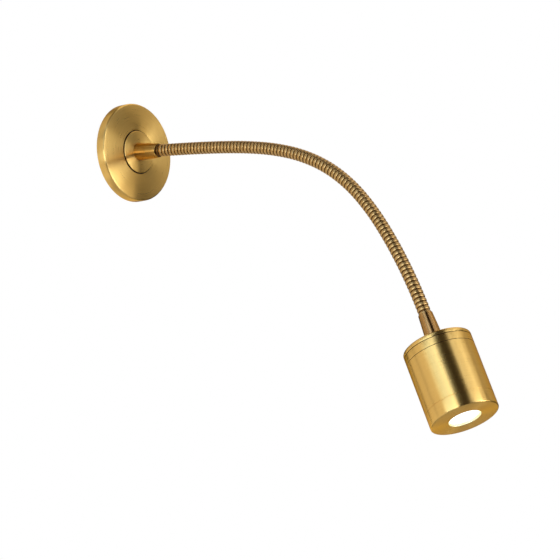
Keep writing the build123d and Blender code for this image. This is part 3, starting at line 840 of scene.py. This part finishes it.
def wound_wire(sizes, low, high):
    """The straight gooseneck, at least from one height to another: a rounded rib, spun round the axis into a
    ring and repeated."""
    half = (RIB_PITCH - sizes.groove_width) / 2
    base, rise = sizes.groove_radius, sizes.neck_radius - sizes.groove_radius
    before = math.ceil((PATH_SPARE + FIRST_CREST - low) / RIB_PITCH)
    middle = PATH_SPARE + FIRST_CREST - before * RIB_PITCH
    to_object_mode()
    bpy.ops.object.select_all(action="DESELECT")
    bpy.ops.mesh.primitive_circle_add(
        vertices=RIB_SIDES, radius=half, location=(base, 0, middle), rotation=(math.radians(90), 0, 0)
    )
    wire = named("wound_wire")
    bpy.ops.object.transform_apply(location=True, rotation=True, scale=True)
    bpy.ops.object.mode_set(mode="EDIT")
    pick("VERT", lambda v: v.co.x < base - TINY)
    bpy.ops.mesh.delete(type="VERT")
    bpy.ops.mesh.select_all(action="SELECT")
    bpy.ops.transform.resize(value=(rise / half, 1, 1), center_override=(base, 0, middle))
    for side in (-1, 1):
        pick("VERT", lambda v: abs(v.co.z - middle - side * half) < TINY)
        step = (0, 0, side * sizes.groove_width / 2)
        bpy.ops.mesh.extrude_vertices_move(TRANSFORM_OT_translate={"value": step})
    bpy.ops.mesh.select_all(action="SELECT")
    bpy.ops.mesh.spin(steps=NECK_SIDES, angle=math.radians(360), center=(0, 0, 0), axis=(0, 0, 1))
    bpy.ops.mesh.select_all(action="SELECT")
    bpy.ops.mesh.remove_doubles(threshold=TINY)
    bpy.ops.object.mode_set(mode="OBJECT")
    bpy.ops.object.modifier_add(type="ARRAY")
    turns = wire.modifiers[-1]
    turns.count = math.ceil((high - middle) / RIB_PITCH) + 1
    turns.use_relative_offset = False
    turns.use_constant_offset = True
    turns.constant_offset_displace = (0, 0, RIB_PITCH)
    turns.use_merge_vertices = True
    turns.merge_threshold = TINY
    bpy.ops.object.modifier_apply(modifier=turns.name)
    return wire


def cut_length(whole, name, low, high, bore):
    """A copy of the straight gooseneck between two heights, with its bore and closed ends."""
    only(whole)
    bpy.ops.object.duplicate()
    piece = named(name)
    bpy.ops.object.mode_set(mode="EDIT")
    for height, side in ((low, {"clear_inner": True}), (high, {"clear_outer": True})):
        bpy.ops.mesh.select_all(action="SELECT")
        bpy.ops.mesh.bisect(plane_co=(0, 0, height), plane_no=(0, 0, 1), **side)
    bpy.ops.mesh.select_all(action="DESELECT")
    bpy.ops.mesh.primitive_cylinder_add(
        vertices=CABLE_SIDES,
        radius=bore,
        depth=high - low,
        end_fill_type="NOTHING",
        location=(0, 0, (low + high) / 2),
    )
    for height in (low, high):
        pick("EDGE", lambda e: e.is_boundary and all(abs(v.co.z - height) < TINY for v in e.verts))
        bpy.ops.mesh.bridge_edge_loops()
    bpy.ops.object.mode_set(mode="OBJECT")
    return piece


def mark_crests(piece, sizes):
    """Writes how high each point stands, from 0 in a groove to 1 on a crest, for the finish to read. Just
    out of the wall ferrule's mouth every point gets 0, which paints that stretch in the patina's brown as
    painted shade.
    """
    rise = sizes.neck_radius - sizes.groove_radius
    crest = piece.data.attributes.new("crest", "FLOAT", "POINT")
    dark_from, dark_to = (PATH_SPARE + height for height in PAINTED_SHADE_RIB)
    values = []
    for vertex in piece.data.vertices:
        height = (math.hypot(vertex.co.x, vertex.co.y) - sizes.groove_radius) / rise
        # Painted shade: just out of the wall ferrule's mouth the ribs get the patina's brown whole
        dark = dark_from < vertex.co.z < dark_to
        values.append(0.0 if dark else min(max(height, 0.0), 1.0))
    crest.data.foreach_set("value", values)


class LAMP_OT_gooseneck(Operator):
    """Make the ribbed gooseneck, cut it at the middle of every link and lay it along the neck's path"""

    bl_idname = "lamp.gooseneck"
    bl_label = "Gooseneck"

    def execute(self, context):
        lamp = context.scene.reading_lamp
        check_joints()
        path = laid_path()
        cuts = stations()
        whole = wound_wire(lamp.sizes, cuts[0], cuts[-1])
        brass = neck_brass(lamp.colours)
        for index, (low, high) in enumerate(zip(cuts, cuts[1:])):
            piece = cut_length(whole, f"gooseneck_{index:02d}", low, high, BORE_R)
            mark_crests(piece, lamp.sizes)
            lay(piece, path)
            dress(piece, brass)
            ride_along(piece, index)
            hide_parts(*(f"neck_{link:02d}" for link in links_of(index)))
        bpy.data.objects.remove(whole)
        bpy.data.objects.remove(path)
        return {"FINISHED"}


class LAMP_OT_cable(Operator):
    """Draw the cable that runs inside the neck from the wall to the driver"""

    bl_idname = "lamp.cable"
    bl_label = "Cable"

    def execute(self, context):
        path = laid_path()
        cuts = stations()
        cuts[0] = PATH_SPARE - NECK_START - CABLE_BEHIND_FERRULE
        cuts[-1] = cuts[-1] - NECK_IN_SOCKET + HEAD_FERRULE_LENGTH + CABLE_IN_HEAD
        sheath = plain_finish("cable_sheath_pvc", "#2A2A2B", "#1C1C1D", 0.5, 0.6 * MM, metallic=0.0)
        for index, (low, high) in enumerate(zip(cuts, cuts[1:])):
            rings = [(CABLE_R, low + (high - low) * step / CABLE_STEPS) for step in range(CABLE_STEPS + 1)]
            outline = [(0, low), *rings, (0, high)]
            piece = turn(f"cable_{index:02d}_sheath", outline, Matrix.Identity(4), CABLE_SIDES)
            lay(piece, path)
            dress(piece, sheath)
            ride_along(piece, index)
            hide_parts(*(f"cable_{link:02d}" for link in links_of(index)))
        bpy.data.objects.remove(path)
        return {"FINISHED"}


class LAMP_OT_head(Operator):
    """Turn the head's cap, barrel and bezel"""

    bl_idname = "lamp.head"
    bl_label = "Head"

    def execute(self, context):
        lamp = context.scene.reading_lamp
        sizes, colours = lamp.sizes, lamp.colours
        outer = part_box("head_barrel")[1].x
        bore, thread, thread_bore = outer - BARREL_WALL, outer - THREAD_IN, outer - THREAD_BORE_IN
        groove = sizes.cap_groove
        groove_top, groove_foot = CAP_GROOVE_AT - groove / 2, CAP_GROOVE_AT + groove / 2
        cap = turn(
            "head_cap_brass",
            [
                (CAP_HOLE_R, 0),
                (outer, 0, sizes.cap_round),
                (outer, groove_top, SHARP),
                (outer - groove, groove_top),
                (outer - groove, groove_foot),
                (outer, groove_foot, SHARP),
                (outer, CAP_END - CAP_SEAM),
                (outer - CAP_SEAM, CAP_END),
                (thread, CAP_END),
                (thread, CAP_END + THREAD_LENGTH),
                (thread_bore, CAP_END + THREAD_LENGTH),
                (thread_bore, CAP_TOP_THICKNESS),
                (CAP_HOLE_R, CAP_TOP_THICKNESS),
            ],
            ON_HEAD,
        )
        barrel = turn(
            "head_barrel_brass",
            [
                (bore, CAP_END),
                (outer - CAP_SEAM, CAP_END),
                (outer, CAP_END + CAP_SEAM),
                (outer, BEZEL_TOP - BEZEL_SEAM),
                (outer - BEZEL_SEAM, BEZEL_TOP),
                (bore, BEZEL_TOP),
            ],
            ON_HEAD,
        )
        bezel = turn(
            "front_bezel_brass",
            [
                (thread, BEZEL_TOP - THREAD_LENGTH),
                (thread, BEZEL_TOP),
                (outer - BEZEL_SEAM, BEZEL_TOP),
                (outer, BEZEL_TOP + BEZEL_SEAM),
                (outer, HEAD_TIP, sizes.bezel_edge),
                (sizes.aperture, HEAD_TIP, APERTURE_ROUND),
                (sizes.aperture, BEZEL_FACE_BACK),
                (thread_bore, BEZEL_FACE_BACK),
                (thread_bore, BEZEL_TOP - THREAD_LENGTH),
            ],
            ON_HEAD,
        )
        brass = brushed_brass("brushed_brass_head", ON_HEAD, colours.brass_light, colours.brass_deep)
        dark = painted_shade_brass("painted_shade_brass_groove", colours)
        # Bare turned brass of the aperture's edge, painted almost white: painted light from the lamp's own
        # glow
        bright = plain_finish("painted_lamplight_brass_edge", "#FFF3C4", "#FFEBB0", 0.5, 0.5 * MM)
        # The groove and the seam are what lies under the outside near the cap, and they are painted dark
        # brown as painted shade
        floor = outer - groove - 2 * NEAR
        sunk = faces_on(ON_HEAD, floor, outer - SUNK, CAP_GROOVE_AT - groove, CAP_END + 2 * CAP_SEAM)
        # The edge is the aperture's wall and its rounding, up to the bezel's front
        hole, rim = sizes.aperture - NEAR, sizes.aperture + APERTURE_ROUND + NEAR
        edge = faces_on(ON_HEAD, hole, rim, BEZEL_FACE_BACK, HEAD_TIP - FLUSH)
        for piece, node, finish, part in (
            (cap, "head_cap", dark, sunk),
            (barrel, "head_barrel", dark, sunk),
            (bezel, "front_bezel", bright, edge),
        ):
            dress(piece, brass)
            dress_some(piece, finish, part)
            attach(piece, "head")
            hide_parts(node)
        return {"FINISHED"}


class LAMP_OT_window(Operator):
    """Grind the glass window behind the aperture and light it"""

    bl_idname = "lamp.window"
    bl_label = "Window"

    def execute(self, context):
        lamp = context.scene.reading_lamp
        edges = [(WINDOW_R, WINDOW_BACK, SOFT), (WINDOW_R, WINDOW_FRONT, SOFT)]
        outline = [(0, WINDOW_BACK), *edges, (0, WINDOW_FRONT)]
        glass = turn("window_glass_frosted", outline, ON_HEAD, DISC_SIDES)
        dress(glass, glowing_window(lamp.colours))
        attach(glass, "head")
        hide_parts("window_glass")
        return {"FINISHED"}


class LAMP_OT_inner_parts(Operator):
    """Finish the parts behind the plate and inside the head"""

    bl_idname = "lamp.inner_parts"
    bl_label = "Inner Parts"

    def execute(self, context):
        finishes = (
            # Zinc plate on pressed and machined steel: grey, slightly cloudy
            (plain_finish("zinc_plated_steel", "#C9CBCC", "#9EA2A5", 0.34, 3 * MM), (
                "mounting_bracket", "earth_washer", "lock_washer", "lock_nut", "head_washer", "head_nut",
                "earth_screw", "boss_screws", "led_screws")),
            # Nickel plate on sintered magnets: bright and smooth
            (plain_finish("nickel_plated_magnet", "#C6C3BC", "#AFABA3", 0.2, 2 * MM), ("plate_magnets",)),
            # Aluminium as it comes off the lathe or the press: pale, satin
            (plain_finish("machined_aluminium", "#D6D7D9", "#B9BBBE", 0.38, 1 * MM), (
                "heat_sink", "wall_cord_grip", "head_cord_grip")),
            # Moulded PBT: white, faintly uneven
            (plain_finish("moulded_white_pbt", "#EFEFEA", "#E4E4DE", 0.5, 1 * MM, 0.0), (
                "lens_holder", "driver_case", "driver_lid", "led_board")),
            # Solder mask on glass fibre: green, glossy
            (plain_finish("green_solder_mask", "#1F6B37", "#18552C", 0.3, 1 * MM, 0.0), ("driver_board",)),
            # Moulded epoxy and aluminium can sleeve: black, matt
            (plain_finish("moulded_black_epoxy", "#26262A", "#1B1B1E", 0.5, 1 * MM, 0.0), (
                "driver_transformer", "driver_capacitor", "driver_terminal")),
            # Silicone rubber: grey, matt
            (plain_finish("grey_silicone", "#7C7C7E", "#69696B", 0.7, 1 * MM, 0.0), (
                "window_gasket", "thermal_pad", "led_leads")),
            # Moulded acrylic: clear, with a light haze
            (plain_finish("moulded_clear_pmma", "#F6F6F2", "#ECECE6", 0.12, 2 * MM, 0.0), ("optic_lens",)),
            # Phosphor under silicone: yellow, satin
            (plain_finish("led_phosphor", "#F2D24A", "#E2BE3A", 0.4, 0.5 * MM, 0.0), ("led_emitter",)),
        )
        for material, nodes in finishes:
            for node in nodes:
                dress(node, material)
        return {"FINISHED"}


# Stage ----------------------------------------------------------------------------------------


STUDIO_MIDDLE = Vector((0, -0.16, -0.12))
STUDIO_R = 2.2  # distance of every softbox from the lamp
FLOOR_SIZE = 8
SIGHT = 20  # how far the camera sees
AIR_GLOW = 0.05  # strength of the light that comes from all round
DAYLIGHT = "#BCD5FF"  # the large boxes on the left
COOL = "#DBE7FF"  # most boxes in front
PLAIN = "#FFFFFF"
# Azimuth, elevation, width and height in degrees as the lamp sees them, brightness, and tone
SOFTBOXES = (
    ("right_deep", 14, -30, 32, 22, 0.7, COOL),
    ("right_low_inner", 4, -8, 12, 22, 3.1, COOL),
    ("right_low", 20, -8, 20, 22, 8.3, COOL),
    ("right_low_outer", 38, -8, 16, 22, 1.85, PLAIN),
    ("front_mid", -16, 16, 16, 26, 1.3, COOL),
    ("right_mid", 5, 16, 26, 26, 4.0, COOL),
    ("right_mid_outer", 27, 16, 18, 26, 0.7, PLAIN),
    ("front_top", -27, 42, 14, 26, 0.05, PLAIN),
    ("front_top_inner", -13, 42, 14, 26, 1.5, COOL),
    ("right_top", 6, 42, 24, 26, 0.42, COOL),
    ("right_top_outer", 30, 42, 24, 26, 0.62, COOL),
    ("left_low_inner", -62, -8, 12, 22, 8.5, COOL),
    ("left_low", -85, -8, 34, 22, 5.4, DAYLIGHT),
    ("left_mid", -83, 16, 34, 26, 2.2, DAYLIGHT),
    ("left_top", -83, 42, 34, 26, 2.05, DAYLIGHT),
    ("fill_left", -121, -3, 38, 56, 0.83, PLAIN),
    ("fill_behind_left", -160, -22, 40, 44, 0.87, PLAIN),
    ("fill_behind_left_mid", -160, 12, 40, 24, 0.53, PLAIN),
    ("fill_behind_right", 155, -24, 50, 40, 0.8, PLAIN),
    ("top_behind_left", -150, 44, 60, 40, 0.74, PLAIN),
    ("top_behind_right", 150, 44, 60, 40, 0.33, PLAIN),
    ("fill_right", 80, 22, 60, 40, 0.52, PLAIN),
    ("top_right", 80, 62, 120, 40, 1.05, PLAIN),
    ("low_right", 110, -32, 44, 26, 0.54, PLAIN),
    ("low_left", -112, -42, 56, 22, 0.63, PLAIN),
    ("low_front", -50, -50, 60, 30, 0.2, PLAIN),
)


def towards(azimuth, elevation):
    """Direction from the lamp to a place in the studio."""
    level = math.cos(elevation)
    return Vector((math.sin(azimuth) * level, -math.cos(azimuth) * level, math.sin(elevation)))


def softbox(name, azimuth, elevation, width, height, brightness, tone):
    """A soft light that faces the lamp."""
    back = towards(math.radians(azimuth), math.radians(elevation))
    light = bpy.data.lights.new(name, "AREA")
    light.shape = "RECTANGLE"
    across = math.radians(width) * math.cos(math.radians(elevation))
    light.size = 2 * STUDIO_R * math.tan(across / 2)
    light.size_y = 2 * STUDIO_R * math.tan(math.radians(height) / 2)
    light.energy = math.pi * light.size * light.size_y * brightness
    light.color = linear(tone)
    box = bpy.data.objects.new(name, light)
    box.visible_camera = False
    box.location = STUDIO_MIDDLE + back * STUDIO_R
    box.rotation_euler = back.to_track_quat("Z", "Y").to_euler()
    bpy.context.scene.collection.objects.link(box)


class LAMP_OT_stage(Operator):
    """Lay the pale floor and set the studio lights and the camera"""

    bl_idname = "lamp.stage"
    bl_label = "Stage"

    def execute(self, context):
        scene = context.scene
        studio = scene.reading_lamp.studio
        to_object_mode()
        bpy.ops.object.select_all(action="DESELECT")
        bpy.ops.mesh.primitive_plane_add(size=FLOOR_SIZE, location=(0, 0, -studio.floor_drop))
        floor = named("studio_floor")
        bpy.ops.object.transform_apply(location=True, rotation=True, scale=True)
        dress(floor, pale_floor())
        for box in SOFTBOXES:
            softbox(*box)
        world = bpy.data.worlds.new("studio_air")
        world.use_nodes = True
        tree = world.node_tree
        tree.nodes.clear()
        camera_ray = add(tree, "ShaderNodeLightPath").outputs["Is Camera Ray"]
        tone = (*linear("#F4EDE2"), 1)
        air = add(tree, "ShaderNodeBackground", None, Color=tone, Strength=AIR_GLOW).outputs[0]
        seen = add(tree, "ShaderNodeBackground", None, Color=(*studio.backdrop, 1), Strength=1.0).outputs[0]
        both = add(tree, "ShaderNodeMixShader", None, i0=camera_ray, i1=air, i2=seen)
        out = tree.nodes.new("ShaderNodeOutputWorld")
        tree.links.new(both.outputs[0], out.inputs["Surface"])
        scene.world = world
        scene.view_settings.view_transform = "Standard"
        back = towards(studio.azimuth, studio.elevation)
        camera = bpy.data.cameras.new("camera")
        camera.lens = studio.lens
        camera.clip_end = SIGHT
        eye = bpy.data.objects.new("camera", camera)
        eye.location = Vector((0, -studio.aim_out, -studio.aim_down)) + back * studio.distance
        eye.rotation_euler = back.to_track_quat("Z", "Y").to_euler()
        scene.collection.objects.link(eye)
        scene.camera = eye
        return {"FINISHED"}


class LAMP_PT_panel(Panel):
    bl_idname = "LAMP_PT_panel"
    bl_label = "Reading Lamp"
    bl_space_type = "VIEW_3D"
    bl_region_type = "UI"
    bl_category = "Reading Lamp"

    def draw(self, context):
        lamp = context.scene.reading_lamp
        for title, group in (("Sizes", lamp.sizes), ("Colours", lamp.colours), ("Studio", lamp.studio)):
            box = self.layout.box()
            box.label(text=title)
            for name in group.__annotations__:
                box.prop(group, name)
        for maker in MAKERS:
            self.layout.operator(maker.bl_idname)


MAKERS = (
    LAMP_OT_stage,
    LAMP_OT_wall_plate,
    LAMP_OT_ferrules,
    LAMP_OT_gooseneck,
    LAMP_OT_cable,
    LAMP_OT_head,
    LAMP_OT_window,
    LAMP_OT_inner_parts,
)
GROUPS = (LampSizes, LampColours, StudioSettings, ReadingLamp)


def register():
    for part in (*GROUPS, *MAKERS, LAMP_PT_panel):
        bpy.utils.register_class(part)
    bpy.types.Scene.reading_lamp = PointerProperty(type=ReadingLamp)


def unregister():
    del bpy.types.Scene.reading_lamp
    for part in reversed((*GROUPS, *MAKERS, LAMP_PT_panel)):
        bpy.utils.unregister_class(part)


def main():
    register()
    for maker in MAKERS:
        family, name = maker.bl_idname.split(".")
        getattr(getattr(bpy.ops, family), name)()


if __name__ == "__main__":
    main()
